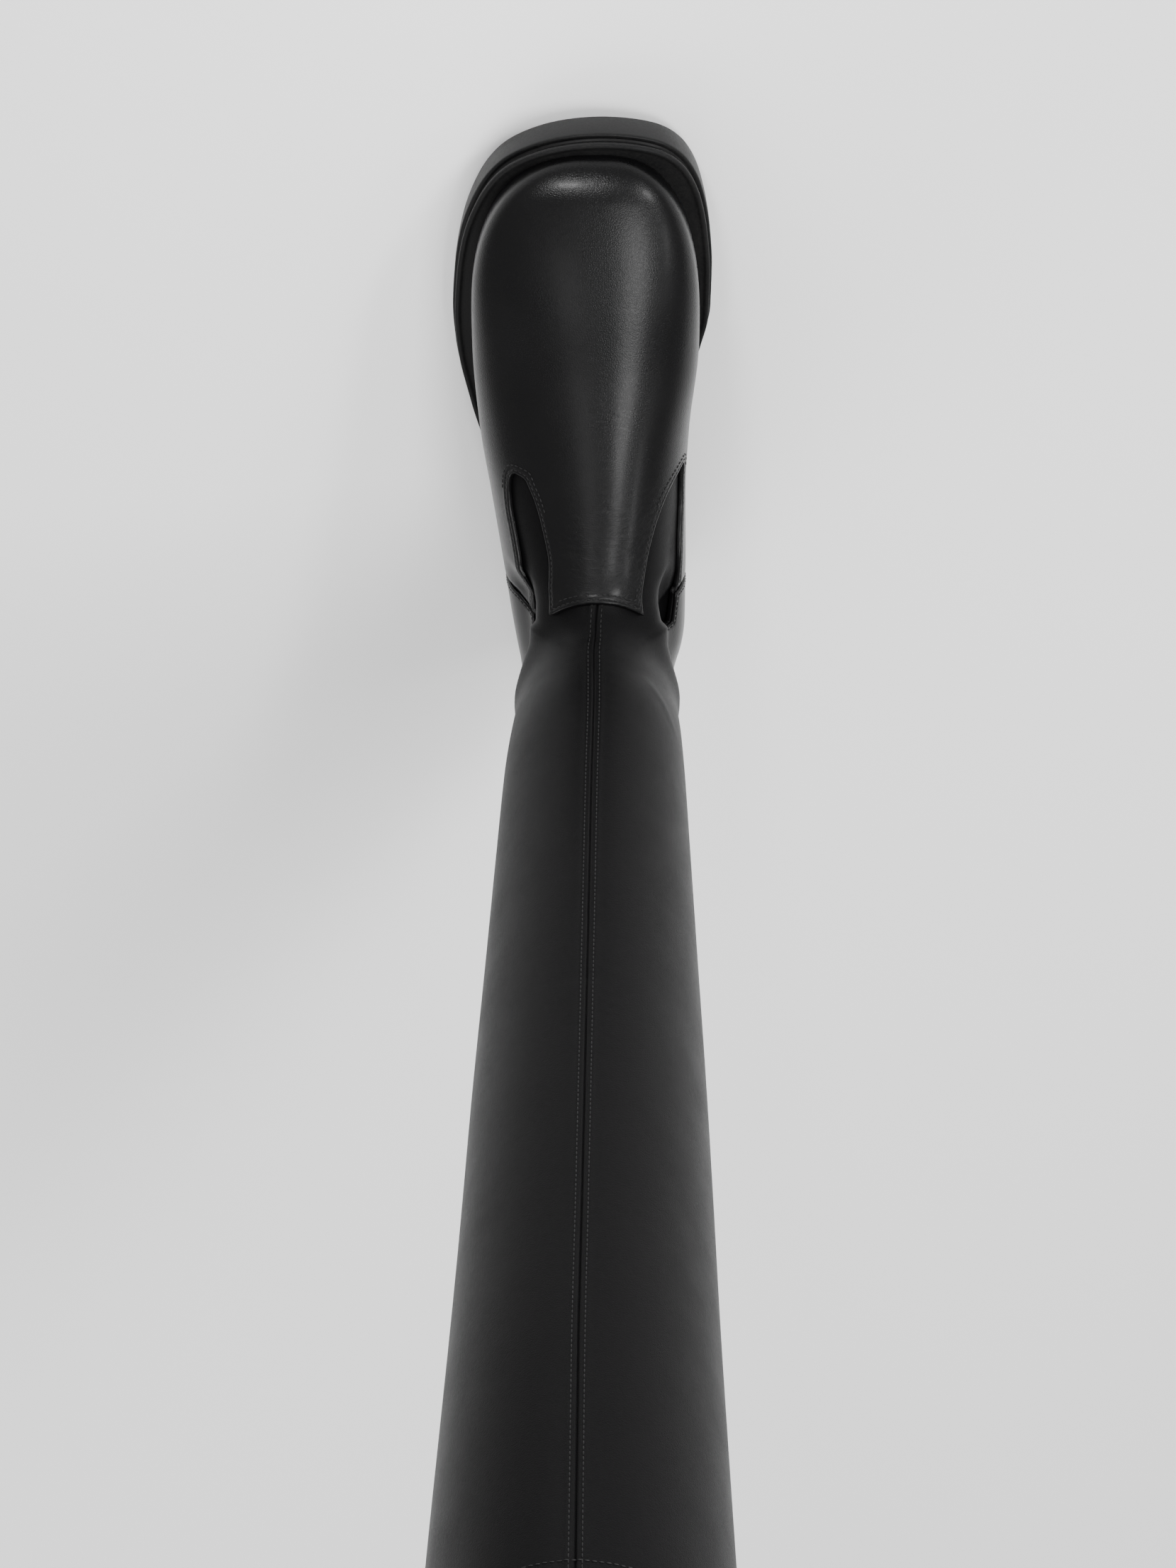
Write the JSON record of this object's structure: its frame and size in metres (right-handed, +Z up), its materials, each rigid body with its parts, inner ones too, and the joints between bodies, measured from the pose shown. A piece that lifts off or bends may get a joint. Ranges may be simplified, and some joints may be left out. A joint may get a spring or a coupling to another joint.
{
  "type": "thigh high boot",
  "caption": "Left thigh-high pull-on boot in black leather: thick flat rubber sole, low heel block, ankle cut-outs showing the long straight leather shaft.",
  "frame": {"origin": "middle of the heel block's flat ground face, on the plane that the boot stands on", "axes": "+Z up along the shaft, -Y towards the toe, +X towards the outer (lateral) side of this left boot"},
  "size_m": [0.119, 0.3225, 0.6852],
  "materials": {
    "upper_leather": "satin fine-grain black leather",
    "shaft_leather": "satin fine-grain black leather, a little softer",
    "sole_rubber": "semi-matt black rubber",
    "insole_board": "matt dark lining leather"
  },
  "bodies": {
    "root": {"outsole": "sole_rubber", "heel": "sole_rubber", "midsole": "sole_rubber", "welt": "sole_rubber", "insole": "insole_board", "upper": "upper_leather", "counter": "upper_leather", "shaft": "shaft_leather"}
  },
  "joints": []
}
